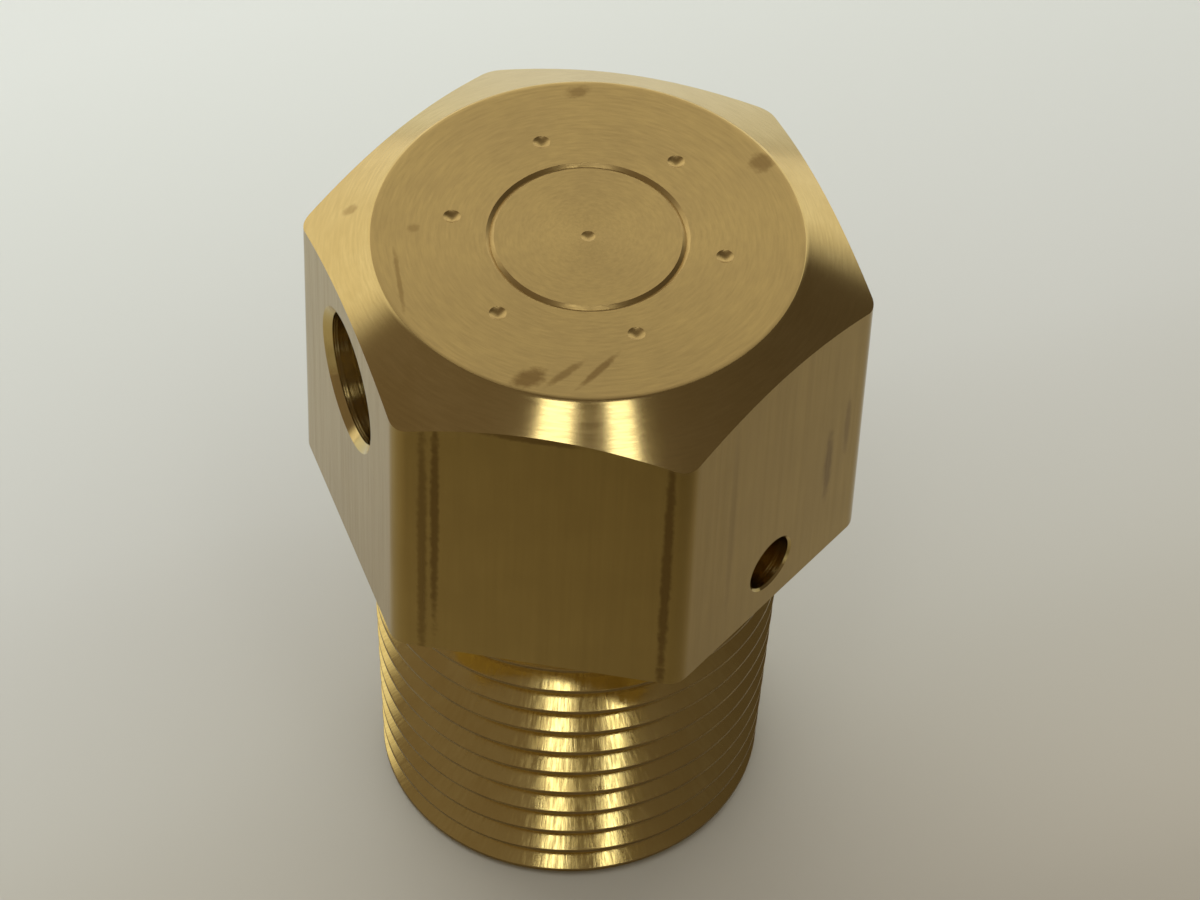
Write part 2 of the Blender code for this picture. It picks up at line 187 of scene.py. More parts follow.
# Backdrop tones, as (millimetres along Y, colour): painted shade, dimmest just in front of the object
FLOOR_PAINTED_SHADE_TONES = [
    (-220, (0.78, 0.78, 0.73)),
    (-70, (0.22, 0.2, 0.155)),
    (-20, (0.44, 0.4, 0.315)),
    (0, (0.54, 0.52, 0.44)),
    (20, (0.65, 0.65, 0.585)),
    (60, (0.82, 0.845, 0.78)),
    (160, (0.96, 0.97, 0.93)),
]
FLOOR_SIZE = 3.0
FLOOR_ROUGHNESS = 0.6

# Grain and age, from the span of the noise that each is stretched over
NOISE_DETAIL = 4.0
NOISE_ROUGHNESS = 0.6
GRAIN_SPAN = (0.3, 0.7)
GRAIN_DARKENING = 0.5
AGE_SPAN = (0.35, 0.65)
AGE_DETAIL = 6.0

# How the noise is drawn out along each kind of tool mark, and the turn of a sheen that lies across it
CHATTER_TURNS = 10.0
CHATTER_STRETCH = 0.25
DRAWN_STRETCH = 0.03
ROLLED_STRETCH = 0.05
SHEEN_ACROSS = 0.25


@dataclass
class Finish:
    """How one kind of surface looks; lengths are in millimetres, and tones are linear.

    The aged tone shows in soft patches. The grain names the tool marks, grain_shade is how much darker than
    the aged tone they are, and the sheen lies along them, or across.
    """

    colour: tuple
    aged: tuple
    grain: str
    grain_scale: float
    roughness: tuple
    depth: float = 0.002
    grain_shade: float = 0.15
    aged_scale: float = 0.3
    aged_share: float = 0.5
    anisotropy: float = 0.0
    across: bool = False
    marks: tuple = ()


# Handling marks and a painted shadow, in millimetres and degrees, as (x, y, z, three half sizes, turn,
# strength)
TOP_MARKS = (
    (2.97, 9.68, 39.9, 0.75, 0.5, 1, 0, 0.5),
    (10.09, 2.04, 39.9, 0.9, 0.7, 1, 20, 0.6),
    (-8.07, 3.3, 39.9, 0.4, 0.35, 1, 0, 0.35),
    (-5.91, -7.98, 39.9, 1.1, 0.7, 1, 10, 0.75),
    (-4.2, -8.25, 39.9, 1.5, 0.26, 1, 23, 0.55),
    (-2.6, -8.6, 39.9, 1.7, 0.24, 1, 30, 0.65),
    (-9.85, 0.2, 39.9, 2.4, 0.16, 1, 78, 0.45),
)
CHAMFER_MARKS = ((-10.44, 6.13, 39.17, 0.5, 0.4, 0.6, 0, 0.5),)
FLAT_MARKS_AND_SHADOW = (
    (-11.45, -8.05, 29, 0.3, 0.3, 14, -30, 0.6),
    (-10.9, -8.37, 32, 0.27, 0.3, 11, -30, 0.75),
    (-0.79, -14.21, 30, 0.32, 0.3, 14, -30, 0.75),
    # Painted shadow, not a stain: a dark strip just under the chamfer's edge on the front flat
    (-6.9, -10.7, 38.65, 3.4, 0.4, 0.32, -30, 0.65),
    (11.3, -8.1, 30.5, 0.3, 0.3, 2.5, 30, 0.5),
    (10.1, -8.85, 28.5, 0.4, 0.3, 3.2, 30, 0.6),
    (3.2, -12.8, 31, 0.3, 0.3, 9, 30, 0.25),
)

# What a stain, and the painted shadow too, leaves of the aged tone's red, green and blue, the roughness it
# adds, and its ragged edge
STAIN_AND_SHADOW_SHARES = (0.42, 0.34, 0.25)
STAIN_AND_SHADOW_ROUGHNESS = 0.03
STAIN_AND_SHADOW_NOISE_SCALE = 2.5
STAIN_AND_SHADOW_RAGGEDNESS = 0.2
STAIN_AND_SHADOW_FADE = (0.4, 1.1)

FINISHES = {
    "brass_top": Finish(
        colour=(0.57, 0.415, 0.155),
        aged=(0.49, 0.355, 0.14),
        grain="facing",
        grain_scale=7,
        roughness=(0.3, 0.38),
        depth=0.0015,
        anisotropy=0.35,
        across=True,
        marks=TOP_MARKS,
    ),
    "brass_chamfer": Finish(
        colour=(0.64, 0.5, 0.21),
        aged=(0.55, 0.41, 0.15),
        grain="facing",
        grain_scale=9,
        roughness=(0.1, 0.16),
        depth=0.0006,
        anisotropy=0.2,
        across=True,
        marks=CHAMFER_MARKS,
    ),
    "brass_flats": Finish(
        colour=(0.385, 0.265, 0.078),
        aged=(0.34, 0.23, 0.066),
        grain="drawn",
        grain_scale=3,
        grain_shade=0.08,
        roughness=(0.16, 0.26),
        depth=0.002,
        anisotropy=0.5,
        marks=FLAT_MARKS_AND_SHADOW,
    ),
    "brass_thread": Finish(
        colour=(0.73, 0.59, 0.23),
        aged=(0.6, 0.44, 0.14),
        grain="chatter",
        grain_scale=7,
        roughness=(0.05, 0.25),
        depth=0.001,
        grain_shade=0.1,
    ),
    # Crest and root flats take a much darker copy of the brass: painted shade for the dark lines between the
    # turns
    "brass_crest_painted_shade": Finish(
        colour=(0.3, 0.2, 0.06),
        aged=(0.2, 0.13, 0.045),
        grain="bored",
        grain_scale=6,
        roughness=(0.3, 0.45),
        depth=0.003,
    ),
    "brass_bore": Finish(
        colour=(0.6, 0.44, 0.16),
        aged=(0.42, 0.29, 0.09),
        grain="bored",
        grain_scale=6,
        roughness=(0.18, 0.28),
        depth=0.003,
    ),
    "brass_port": Finish(
        colour=(0.7, 0.54, 0.22),
        aged=(0.55, 0.4, 0.14),
        grain="drilled",
        grain_scale=10,
        roughness=(0.14, 0.24),
        depth=0.012,
    ),
}


def camera():
    data = bpy.data.cameras.new("camera")
    data.sensor_width = SENSOR_WIDTH
    data.lens = CAMERA_LENS
    data.clip_start, data.clip_end = CAMERA_CLIP
    item = bpy.data.objects.new("camera", data)
    bpy.context.scene.collection.objects.link(item)
    back = CAMERA_RIGHT.cross(CAMERA_UP)
    axes = Matrix((CAMERA_RIGHT, CAMERA_UP, back)).transposed()
    item.matrix_world = Matrix.Translation(CAMERA_LOCATION) @ axes.to_4x4()
    bpy.context.scene.camera = item


def finish_mesh(bm, name):
    bmesh.ops.remove_doubles(bm, verts=bm.verts, dist=MERGE_DISTANCE)
    bmesh.ops.recalc_face_normals(bm, faces=bm.faces)
    mesh = bpy.data.meshes.new(name)
    bm.to_mesh(mesh)
    bm.free()
    item = bpy.data.objects.new(name, mesh)
    bpy.context.scene.collection.objects.link(item)
    return item


def turned(name, profile, steps=ROUND_STEPS, start=0.0):
    """A closed profile of (radius, height) points, turned once round the Z axis from a starting angle."""
    bm = bmesh.new()
    spin_profile(bm, profile, steps, start)
    return finish_mesh(bm, name)


def spin_profile(bm, profile, steps, start):
    across, along = math.cos(start), math.sin(start)
    corners = [bm.verts.new((radius * across, radius * along, height)) for radius, height in profile]
    edges = []
    for index, corner in enumerate(corners):
        following = (index + 1) % len(corners)
        if profile[index][0] > 0 or profile[following][0] > 0:
            edges.append(bm.edges.new((corner, corners[following])))
    bmesh.ops.spin(
        bm,
        geom=corners + edges,
        cent=(0, 0, 0),
        axis=(0, 0, 1),
        angle=math.tau,
        steps=steps,
        use_merge=True,
    )


def aim_outward(item, direction, height):
    item.location = (0, 0, height)
    item.rotation_euler = (0, math.pi / 2, direction)


def combine(item, operation, guide):
    modifier = item.modifiers.new(guide.name, "BOOLEAN")
    modifier.operation = operation
    modifier.object = guide
    modifier.solver = "EXACT"
    guide.hide_render = True


def hex_ring(inset):
    """The rounded hexagon's points, moved in from the flats by an inset.

    A point on the flat beside each rounded corner keeps the flat's shading level.
    """
    radius = HEX_CORNER_RADIUS - inset
    points = []
    for corner in range(6):
        middle = math.radians(30 + 60 * corner)
        for step in range(-1, CORNER_STEPS + 2):
            share = min(max(step / CORNER_STEPS, 0), 1)
            angle = middle + math.pi / 6 * (2 * share - 1)
            beyond = EDGE_SUPPORT * ((step > CORNER_STEPS) - (step < 0))
            x = CORNER_REACH * math.cos(middle) + radius * math.cos(angle) - beyond * math.sin(angle)
            y = CORNER_REACH * math.sin(middle) + radius * math.sin(angle) + beyond * math.cos(angle)
            points.append((x, y))
    return points


def head_block():
    """The hexagon bar with its lower edge broken, still uncut at the top."""
    bm = bmesh.new()
    heights = [(HEX_BASE_Z, HEX_BASE_BREAK), (HEX_BASE_Z + HEX_BASE_BREAK, 0), (TOP_Z + OVERSHOOT, 0)]
    rings = [[bm.verts.new((x, y, z)) for x, y in hex_ring(inset)] for z, inset in heights]
    for low, high in zip(rings, rings[1:]):
        for index in range(len(low)):
            following = (index + 1) % len(low)
            bm.faces.new((low[index], low[following], high[following], high[index]))
    bm.faces.new(rings[0])
    bm.faces.new(rings[-1])
    return finish_mesh(bm, "body_fine")


def chamfer_envelope():
    """The turned chamfer and top face, with a softly rounded edge between them."""
    reach = FACE_DISTANCE / math.cos(math.pi / 6) + OVERSHOOT
    rim_z = TOP_Z - (reach - TOP_FACE_RADIUS) * math.tan(TOP_CHAMFER_ANGLE)
    low_z = HEX_BASE_Z - OVERSHOOT
    outer = (
        TOP_FACE_RADIUS + TOP_EDGE_ROUND * math.cos(TOP_CHAMFER_ANGLE),
        TOP_Z - TOP_EDGE_ROUND * math.sin(TOP_CHAMFER_ANGLE),
    )
    support = (outer[0] + EDGE_SUPPORT, outer[1] - EDGE_SUPPORT * math.tan(TOP_CHAMFER_ANGLE))
    inner = (TOP_FACE_RADIUS - TOP_EDGE_ROUND, TOP_Z)
    middle = (TOP_FACE_RADIUS, TOP_Z - TOP_EDGE_DROP)
    face = (inner[0] - EDGE_SUPPORT, TOP_Z)
    profile = [(0, low_z), (reach, low_z), (reach, rim_z), support, outer, middle, inner, face, (0, TOP_Z)]
    return turned("chamfer_envelope", profile, start=HALF_FACET)


def thread_depth(z):
    """Depth below the crests: full along the stem, and shallower where the die stops under the head."""
    share = min(max((HEX_BASE_Z - z) / THREAD_RUNOUT_LENGTH, 0), 1)
    return THREAD_RUNOUT_DEPTH + share * (THREAD_DEPTH - THREAD_RUNOUT_DEPTH)


def thread_form():
    """One pitch of the thread, from the middle of a soft-edged crest, as (height, share of the depth)."""
    flank = (THREAD_PITCH - THREAD_CREST_WIDTH - THREAD_ROOT_WIDTH) / 2
    half_crest = THREAD_CREST_WIDTH / 2
    ease = THREAD_CREST_ROUND
    to_root = [
        (half_crest - ease, 0),
        (half_crest, THREAD_CREST_DROP / flank),
        (half_crest + ease, ease / flank),
        (half_crest + 2 * ease, 2 * ease / flank),
        (half_crest + flank, 1),
    ]
    to_crest = [(THREAD_PITCH - height, share) for height, share in reversed(to_root)]
    return [(0, 0)] + to_root + to_crest


THREAD_FORM = thread_form()


def thread_share(rise):
    """The share of the depth at a height above the middle of a crest, between the form's points."""
    points = THREAD_FORM + [(THREAD_PITCH, 0)]
    for (low, low_share), (high, high_share) in zip(points, points[1:]):
        if rise <= high:
            return low_share + (high_share - low_share) * (rise - low) / (high - low)
    return 0


def crest_middle(angle):
    return THREAD_START_Z + THREAD_CREST_WIDTH / 2 + THREAD_PITCH * angle / math.tau


def thread_point(angle, z):
    share = thread_share((z - crest_middle(angle)) % THREAD_PITCH)
    radius = STEM_TIP_RADIUS + z * STEM_TAPER - share * thread_depth(z)
    return radius * math.cos(angle), radius * math.sin(angle), z


def thread_column(bm, angle, low_z, high_z):
    """The points of every turn at one angle; those past an end of the rod share that end's vertex."""
    base = bm.verts.new(thread_point(angle, low_z))
    lid = bm.verts.new(thread_point(angle, high_z))
    first_turn = math.floor((low_z - THREAD_START_Z) / THREAD_PITCH) - 1
    last_turn = math.ceil((high_z - THREAD_START_Z) / THREAD_PITCH)
    column = []
    for turn in range(first_turn, last_turn + 1):
        for rise, _ in THREAD_FORM:
            z = crest_middle(angle) + THREAD_PITCH * turn + rise
            if z <= low_z:
                column.append(base)
            elif z >= high_z:
                column.append(lid)
            else:
                column.append(bm.verts.new(thread_point(angle, z)))
    return column


def threaded_rod(low_z, high_z):
    """A closed tapered rod whose rows of points climb a right-hand helix and meet one pitch up."""
    bm = bmesh.new()
    angles = [math.tau * (step + 0.5) / THREAD_COLUMNS for step in range(THREAD_COLUMNS)]
    columns = [thread_column(bm, angle, low_z, high_z) for angle in angles]
    bm.faces.new([column[0] for column in columns])
    bm.faces.new([column[-1] for column in columns])
    rows_per_turn = len(THREAD_FORM)
    first = columns[0]
    columns.append(first[rows_per_turn:] + [first[-1]] * rows_per_turn)
    for left, right in zip(columns, columns[1:]):
        for row in range(len(left) - 1):
            corners = dict.fromkeys([left[row], right[row], right[row + 1], left[row + 1]])
            if len(corners) > 2:
                bm.faces.new(list(corners))
    return finish_mesh(bm, "threaded_rod")


def tip_envelope(high_z):
    """A turned solid that cuts the rod off square at its lower end and breaks the corner there."""
    tip = STEM_TIP_RADIUS - STEM_TIP_CHAMFER
    reach = STEM_BASE_RADIUS + OVERSHOOT
    profile = [(0, 0), (tip, 0), (reach, reach - tip), (reach, high_z), (0, high_z)]
    return turned("tip_envelope", profile, start=HALF_FACET)


def stem():
    """The threaded stem, run up a little into the head so that the two join inside it."""
    item = threaded_rod(-OVERSHOOT, HEX_BASE_Z + OVERSHOOT)
    combine(item, "INTERSECT", tip_envelope(HEX_BASE_Z + 2 * OVERSHOOT))
    return settle(item)


def body_bore():
    profile = [
        (0, -OVERSHOOT),
        (INLET_RADIUS + MOUTH_CHAMFER + OVERSHOOT, -OVERSHOOT),
        (INLET_RADIUS, MOUTH_CHAMFER),
        (INLET_RADIUS, GROOVE_BASE_Z),
        (GROOVE_RADIUS, GROOVE_BASE_Z),
        (GROOVE_RADIUS, GROOVE_TOP_Z),
        (INLET_RADIUS, GROOVE_TOP_Z),
        (INLET_RADIUS, LEDGE_Z),
        (CHAMBER_RADIUS, LEDGE_Z),
        (CHAMBER_RADIUS, SEAT_SHOULDER_Z),
        (VENT_CHAMBER_RADIUS, SEAT_SHOULDER_Z),
        (VENT_CHAMBER_RADIUS, DRILL_SHOULDER_Z),
        (0, CROWN_Z),
    ]
    return turned("body_bore", profile)


def port_tool(name, inner, bore_radius, rim_break):
    """A drill with a countersink: it cuts from its inner points out through a flat of the head."""
    reach = FACE_DISTANCE + OVERSHOOT
    outer = [
        (bore_radius, FACE_DISTANCE - rim_break),
        (bore_radius + rim_break + OVERSHOOT, reach),
        (0, reach),
    ]
    return turned(name, inner + outer, PORT_STEPS, HALF_PORT_FACET)


def vent_tool():
    inner = [(0, 0), (VENT_PORT_RADIUS, 0)]
    item = port_tool("vent_tool", inner, VENT_PORT_RADIUS, VENT_RIM_BREAK)
    aim_outward(item, VENT_PORT_DIRECTION, VENT_PORT_Z)
    return item


def bleed_tool():
    start = CHAMBER_RADIUS / 2
    inner = [
        (0, start),
        (BLEED_INNER_RADIUS, start),
        (BLEED_INNER_RADIUS, JET_SEAT_DISTANCE),
        (BLEED_PORT_RADIUS, JET_SEAT_DISTANCE),
    ]
    item = port_tool("bleed_tool", inner, BLEED_PORT_RADIUS, BLEED_RIM_BREAK)
    aim_outward(item, BLEED_PORT_DIRECTION, BLEED_PORT_Z)
    return item


def dot_tool(bm, angle):
    """A cone-shaped punch mark. Like the other strokes, it starts as far above the face as it goes below."""
    across, along = MARK_DOT_DISTANCE * math.cos(angle), MARK_DOT_DISTANCE * math.sin(angle)
    rim = []
    for step in range(MARK_DOT_STEPS):
        turn = math.tau * step / MARK_DOT_STEPS
        x, y = across + 2 * MARK_DOT_RADIUS * math.cos(turn), along + 2 * MARK_DOT_RADIUS * math.sin(turn)
        rim.append(bm.verts.new((x, y, TOP_Z + MARK_DOT_DEPTH)))
    tip = bm.verts.new((across, along, TOP_Z - MARK_DOT_DEPTH))
    bm.faces.new(rim)
    for left, right in zip(rim, rim[1:] + rim[:1]):
        bm.faces.new((left, right, tip))


def mark_tool():
    """The stamp for the top face: a V-shaped ring, and cone-shaped dots round it and at its centre."""
    bm = bmesh.new()
    lift, floor_z = TOP_Z + MARK_DEPTH, TOP_Z - MARK_DEPTH
    ring = [
        (MARK_RING_RADIUS - MARK_STROKE, lift),
        (MARK_RING_RADIUS, floor_z),
        (MARK_RING_RADIUS + MARK_STROKE, lift),
    ]
    punch = [(0, TOP_Z - PUNCH_DEPTH), (2 * PUNCH_RADIUS, TOP_Z + PUNCH_DEPTH), (0, TOP_Z + PUNCH_DEPTH)]
    spin_profile(bm, ring, PORT_STEPS, 0)
    spin_profile(bm, punch, PORT_STEPS, 0)
    for dot in range(MARK_DOT_COUNT):
        dot_tool(bm, math.tau * (dot + 0.5) / MARK_DOT_COUNT)
    return finish_mesh(bm, "mark_tool")


def body():
    item = head_block()
    combine(item, "INTERSECT", chamfer_envelope())
    combine(item, "UNION", stem())
    combine(item, "DIFFERENCE", body_bore())
    combine(item, "DIFFERENCE", vent_tool())
    combine(item, "DIFFERENCE", bleed_tool())
    combine(item, "DIFFERENCE", mark_tool())
    settle(item)
    smooth(item)
    return item


def settle(item):
    """Replace an object's modifiers by their result, and remove the guides that shaped it."""
    guides = [modifier.object for modifier in item.modifiers]
    graph = bpy.context.evaluated_depsgraph_get()
    mesh = bpy.data.meshes.new_from_object(item.evaluated_get(graph))
    item.modifiers.clear()
    item.data = mesh
    for guide in guides:
        bpy.data.objects.remove(guide, do_unlink=True)
    return item


def smooth(item):
    item.data.shade_smooth()
    item.data.set_sharp_from_angle(angle=SMOOTHING_ANGLE)


def hex_reach(place):
    """How far out a point is, measured square to the nearest flat of the head."""
    angles = [math.radians(60 * flat) for flat in range(6)]
    return max(place.x * math.cos(angle) + place.y * math.sin(angle) for angle in angles)


def region(place, normal):
    """The finish that a face of the body takes, by where it lies."""
    radius = math.hypot(place.x, place.y)
    if place.z < HEX_BASE_Z - SURFACE_MARGIN:
        if radius < GROOVE_RADIUS + GROOVE_SURROUND or place.z < SURFACE_MARGIN:
            return "brass_bore"
        # Crest and root faces, whose normals lie near level, take the painted-shade finish
        return "brass_crest_painted_shade" if abs(normal.z) < CREST_NORMAL_LIMIT else "brass_thread"
    if place.z > TOP_Z - MARK_DOT_DEPTH and radius < TOP_FACE_RADIUS:
        return "brass_top"
    if normal.z > CHAMFER_NORMAL_LIMIT and radius > TOP_FACE_RADIUS - SURFACE_MARGIN:
        return "brass_chamfer"
    on_corner = radius > CORNER_REACH + HEX_CORNER_RADIUS / 2
    on_base = place.z < HEX_BASE_Z + HEX_BASE_BREAK and radius > STEM_BASE_RADIUS - THREAD_DEPTH
    if hex_reach(place) > FACE_DISTANCE - SURFACE_MARGIN or on_corner or on_base:
        return "brass_flats"
    return "brass_port" if radius > CHAMBER_RADIUS + SURFACE_MARGIN else "brass_bore"


def add(tree, kind, inputs=None, **settings):
    """A shader node with its settings, and its inputs given as values or as other nodes' outputs."""
    node = tree.nodes.new(kind)
    for name, value in settings.items():
        setattr(node, name, value)
    for name, value in (inputs or {}).items():
        if isinstance(value, bpy.types.NodeSocket):
            tree.links.new(value, node.inputs[name])
        else:
            node.inputs[name].default_value = value
    return node


def value_range(tree, value, low, high, to_low, to_high, smoothly=True):
    kind = "SMOOTHSTEP" if smoothly else "LINEAR"
    sockets = {"Value": value, "From Min": low, "From Max": high, "To Min": to_low, "To Max": to_high}
    return add(tree, "ShaderNodeMapRange", sockets, interpolation_type=kind).outputs["Result"]


def maths(tree, operation, first, second):
    return add(tree, "ShaderNodeMath", {0: first, 1: second}, operation=operation).outputs[0]


def noise(tree, place, scale, detail=NOISE_DETAIL):
    sockets = {"Vector": place, "Scale": scale, "Detail": detail, "Roughness": NOISE_ROUGHNESS}
    return add(tree, "ShaderNodeTexNoise", sockets).outputs["Fac"]


def blend_colours(tree, share, first, second):
    node = add(tree, "ShaderNodeMix", data_type="RGBA")
    tree.links.new(share, node.inputs["Factor"])
    for name, value in (("A", first), ("B", second)):
        socket = [one for one in node.inputs if one.name == name and one.type == "RGBA"][0]
        if isinstance(value, bpy.types.NodeSocket):
            tree.links.new(value, socket)
        else:
            socket.default_value = (*value, 1)
    return [one for one in node.outputs if one.type == "RGBA"][0]


def place_in_mm(tree):
    coordinates = add(tree, "ShaderNodeTexCoord")
    sockets = {0: coordinates.outputs["Object"], "Scale": 1 / MM}
    return add(tree, "ShaderNodeVectorMath", sockets, operation="SCALE").outputs[0]


def port_reach(tree, place):
    """How far out a point lies along the side port that it is nearer to."""
    reaches = []
    for way in (VENT_PORT_DIRECTION, BLEED_PORT_DIRECTION):
        sockets = {0: place, 1: (math.cos(way), math.sin(way), 0)}
        product = add(tree, "ShaderNodeVectorMath", sockets, operation="DOT_PRODUCT")
        reaches.append(product.outputs["Value"])
    return maths(tree, "MAXIMUM", *reaches)


def grain_place(tree, place, grain):
    """Coordinates for the grain's noise, stretched along the marks that the tool left."""
    x, y, z = add(tree, "ShaderNodeSeparateXYZ", {0: place}).outputs
    level = add(tree, "ShaderNodeCombineXYZ", {"X": x, "Y": y}).outputs[0]
    radius = add(tree, "ShaderNodeVectorMath", {0: level}, operation="LENGTH").outputs["Value"]
    outward = add(tree, "ShaderNodeVectorMath", {0: level}, operation="NORMALIZE").outputs["Vector"]
    across, along, _ = add(tree, "ShaderNodeSeparateXYZ", {0: outward}).outputs
    if grain == "facing":
        axes = (radius, across, along)
    elif grain == "bored":
        axes = (z, across, along)
    elif grain == "drilled":
        axes = (port_reach(tree, place), 0.0, 0.0)
    elif grain == "chatter":
        axes = (
            maths(tree, "MULTIPLY", across, CHATTER_TURNS),
            maths(tree, "MULTIPLY", along, CHATTER_TURNS),
            maths(tree, "MULTIPLY", z, CHATTER_STRETCH),
        )
    elif grain == "drawn":
        axes = (x, y, maths(tree, "MULTIPLY", z, DRAWN_STRETCH))
    elif grain == "rolled":
        axes = (x, maths(tree, "MULTIPLY", y, ROLLED_STRETCH), z)
    else:
        axes = (x, y, z)
    return add(tree, "ShaderNodeCombineXYZ", dict(zip("XYZ", axes))).outputs[0]


def stains_and_painted_shadow(tree, place, marks):
    """How much each point takes of a stain, a scuff and the painted shadow, from 0 to 1."""
    total = None
    edge = (-STAIN_AND_SHADOW_RAGGEDNESS, STAIN_AND_SHADOW_RAGGEDNESS)
    ragged = noise(tree, place, STAIN_AND_SHADOW_NOISE_SCALE)
    ragged = value_range(tree, ragged, *GRAIN_SPAN, *edge, smoothly=False)
    for x, y, z, length, width, height, turn, strength in marks:
        sockets = {
            "Vector": place,
            "Location": (x, y, z),
            "Rotation": (0, 0, math.radians(turn)),
            "Scale": (length, width, height),
        }
        local = add(tree, "ShaderNodeMapping", sockets, vector_type="TEXTURE").outputs[0]
        reach = add(tree, "ShaderNodeVectorMath", {0: local}, operation="LENGTH").outputs["Value"]
        mark = value_range(tree, maths(tree, "ADD", reach, ragged), *STAIN_AND_SHADOW_FADE, strength, 0.0)
        total = mark if total is None else maths(tree, "MAXIMUM", total, mark)
    return total


def metal(name, finish):
    material = bpy.data.materials.new(name)
    material.use_nodes = True
    tree = material.node_tree
    shader = tree.nodes["Principled BSDF"]
    shader.inputs["Metallic"].default_value = 1.0
    place = place_in_mm(tree)
    grain = noise(tree, grain_place(tree, place, finish.grain), finish.grain_scale)
    grain = value_range(tree, grain, *GRAIN_SPAN, 0.0, 1.0, smoothly=False)
    age = noise(tree, place, finish.aged_scale, AGE_DETAIL)
    age = value_range(tree, age, *AGE_SPAN, 0.0, finish.aged_share)
    colour = blend_colours(tree, age, finish.colour, finish.aged)
    darker = tuple(one * (1 - finish.grain_shade) for one in finish.aged)
    colour = blend_colours(tree, maths(tree, "MULTIPLY", grain, GRAIN_DARKENING), colour, darker)
    roughness = value_range(tree, grain, 0.0, 1.0, *finish.roughness, smoothly=False)
    if finish.marks:
        # Stains darken the colour here, and so does the painted shadow under the chamfer's edge
        stain_and_shadow = stains_and_painted_shadow(tree, place, finish.marks)
        stained_and_shadowed = tuple(one * share for one, share in zip(finish.aged, STAIN_AND_SHADOW_SHARES))
        colour = blend_colours(tree, stain_and_shadow, colour, stained_and_shadowed)
        roughness = maths(tree, "ADD", roughness, maths(tree, "MULTIPLY", stain_and_shadow, STAIN_AND_SHADOW_ROUGHNESS))
    tree.links.new(colour, shader.inputs["Base Color"])
    tree.links.new(roughness, shader.inputs["Roughness"])
    bump = add(tree, "ShaderNodeBump", {"Height": grain, "Strength": 1.0, "Distance": finish.depth * MM})
    tree.links.new(bump.outputs["Normal"], shader.inputs["Normal"])
    if finish.anisotropy:
        shader.inputs["Anisotropic"].default_value = finish.anisotropy
        shader.inputs["Anisotropic Rotation"].default_value = SHEEN_ACROSS if finish.across else 0.0
        tangent = add(tree, "ShaderNodeTangent", direction_type="RADIAL", axis="Z")
        tree.links.new(tangent.outputs["Tangent"], shader.inputs["Tangent"])
    return material


def dress_body(item):
    names = list(FINISHES)
    item.data.materials.clear()
    for name in names:
        item.data.materials.append(metal(name, FINISHES[name]))
    for face in item.data.polygons:
        face.material_index = names.index(region(face.center, face.normal))


def floor():
    half = FLOOR_SIZE / 2
    corners = [(-half, -half, 0), (half, -half, 0), (half, half, 0), (-half, half, 0)]
    mesh = bpy.data.meshes.new("floor")
    mesh.from_pydata(corners, [], [(0, 1, 2, 3)])
    item = bpy.data.objects.new("floor", mesh)
    bpy.context.scene.collection.objects.link(item)
    material = bpy.data.materials.new("backdrop")
    material.use_nodes = True
    tree = material.node_tree
    shader = tree.nodes["Principled BSDF"]
    shader.inputs["Roughness"].default_value = FLOOR_ROUGHNESS
    # The backdrop's colour follows these tones along Y: painted shade where the light falls off in front
    along = add(tree, "ShaderNodeSeparateXYZ", {0: place_in_mm(tree)}).outputs["Y"]
    nearest, farthest = FLOOR_PAINTED_SHADE_TONES[0][0], FLOOR_PAINTED_SHADE_TONES[-1][0]
    share = value_range(tree, along, nearest, farthest, 0.0, 1.0, smoothly=False)
    ramp = add(tree, "ShaderNodeValToRGB", {0: share})
    ramp.color_ramp.interpolation = "CARDINAL"
    stops = ramp.color_ramp.elements
    for _ in FLOOR_PAINTED_SHADE_TONES[len(stops):]:
        stops.new(0.5)
    for stop, (distance, colour) in zip(stops, FLOOR_PAINTED_SHADE_TONES):
        stop.position = (distance - nearest) / (farthest - nearest)
        stop.color = (*colour, 1)
    tree.links.new(ramp.outputs["Color"], shader.inputs["Base Color"])
    mesh.materials.append(material)


def lamp(name, width, length, radiance):
    """A rectangular lamp that faces down; its radiance is in units of a white surface in full light."""
    data = bpy.data.lights.new(name, "AREA")
    data.shape = "RECTANGLE"
    data.size = width
    data.size_y = length
    data.energy = radiance * math.pi * width * length
    item = bpy.data.objects.new(name, data)
    bpy.context.scene.collection.objects.link(item)
    return item


def lamps():
    forward = Vector((CAMERA_LOCATION.x, CAMERA_LOCATION.y, 0)).normalized()
    right = Vector((-forward.y, forward.x, 0))
    for name, (aside, ahead, turn, width, length) in CEILING_LAMPS.items():
        item = lamp(name, width, length, CEILING_LAMP_RADIANCE)
        item.location = aside * right + ahead * forward + Vector((0, 0, CEILING_HEIGHT))
        item.rotation_euler.z = math.atan2(forward.y, forward.x) + math.pi / 2 + turn
    for name, (place, size, radiance) in SOFT_LAMPS.items():
        item = lamp(name, size, size, radiance)
        item.location = place
        item.data.color = SOFT_LAMP_COLOUR
        item.visible_glossy = False


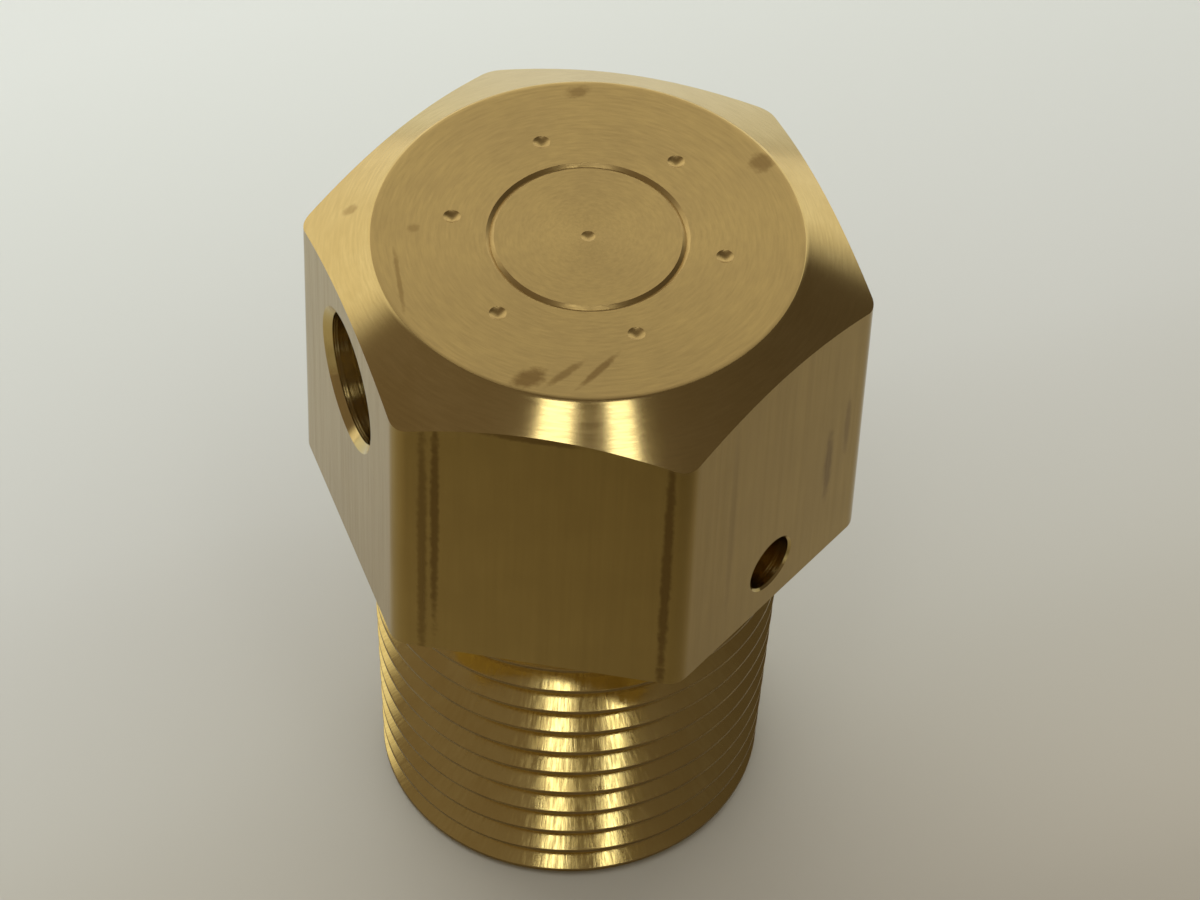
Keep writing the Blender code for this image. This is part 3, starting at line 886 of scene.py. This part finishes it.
def world():
    """A room that is dim and warm overhead, and pale towards the horizon behind the object."""
    scene = bpy.context.scene
    scene.world = bpy.data.worlds.new("world")
    scene.world.use_nodes = True
    tree = scene.world.node_tree
    direction = add(tree, "ShaderNodeTexCoord").outputs["Generated"]
    x, y, height = add(tree, "ShaderNodeSeparateXYZ", {0: direction}).outputs
    level = add(tree, "ShaderNodeCombineXYZ", {"X": x, "Y": y}).outputs[0]
    heading = add(tree, "ShaderNodeVectorMath", {0: level}, operation="NORMALIZE").outputs["Vector"]
    sockets = {0: heading, 1: ROOM_BRIGHT_SIDE}
    behind = add(tree, "ShaderNodeVectorMath", sockets, operation="DOT_PRODUCT").outputs["Value"]
    low = value_range(tree, height, *ROOM_HORIZON_FADE, ROOM_HORIZON, 0.0)
    side = value_range(tree, behind, *ROOM_SIDE_FADE, 0.0, 1.0)
    overhead = maths(tree, "ADD", maths(tree, "MULTIPLY", x, ROOM_OVERHEAD_SLANT), ROOM_OVERHEAD)
    tones = [(ROOM_OVERHEAD_COLOUR, overhead), (ROOM_HORIZON_COLOUR, maths(tree, "MULTIPLY", low, side))]
    lights = []
    for colour, strength in tones:
        light = add(tree, "ShaderNodeBackground", {"Color": colour, "Strength": strength})
        lights.append(light.outputs["Background"])
    whole = add(tree, "ShaderNodeAddShader", {0: lights[0], 1: lights[1]}).outputs["Shader"]
    tree.links.new(whole, tree.nodes["World Output"].inputs["Surface"])
    tree.nodes.remove(tree.nodes["Background"])
    scene.view_settings.view_transform = "Standard"


def dress_nodes():
    """Finishes for the pieces inside, which keep their solids from the frame."""
    turned_brass = Finish(
        colour=(0.66, 0.5, 0.22),
        aged=(0.58, 0.42, 0.16),
        grain="bored",
        grain_scale=9,
        roughness=(0.12, 0.22),
    )
    steel_ball = Finish(
        colour=(0.64, 0.63, 0.61),
        aged=(0.56, 0.55, 0.53),
        grain="fine",
        grain_scale=5,
        roughness=(0.06, 0.12),
        depth=0.0003,
    )
    rolled_steel = Finish(
        colour=(0.55, 0.545, 0.53),
        aged=(0.45, 0.44, 0.42),
        grain="rolled",
        grain_scale=6,
        roughness=(0.26, 0.38),
        depth=0.002,
    )
    dark_steel = Finish(
        colour=(0.2, 0.19, 0.18),
        aged=(0.13, 0.12, 0.115),
        grain="fine",
        grain_scale=8,
        roughness=(0.34, 0.48),
        depth=0.003,
        aged_scale=0.8,
    )
    finishes = {
        "seat_ring": ("seat_brass_turned", turned_brass),
        "check_ball": ("ball_steel_polished", steel_ball),
        "ball_retainer": ("retainer_steel_rolled", rolled_steel),
        "retaining_ring": ("spring_steel_dark", dark_steel),
        "bleed_jet": ("jet_brass_turned", turned_brass),
    }
    for node, (name, finish) in finishes.items():
        for slot in frame["nodes"][node].material_slots:
            slot.material = metal(name, finish)


camera()
world()
floor()
lamps()
piece = body()
dress_body(piece)
dress_nodes()
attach(piece, "valve_body")
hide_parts("hex_body")
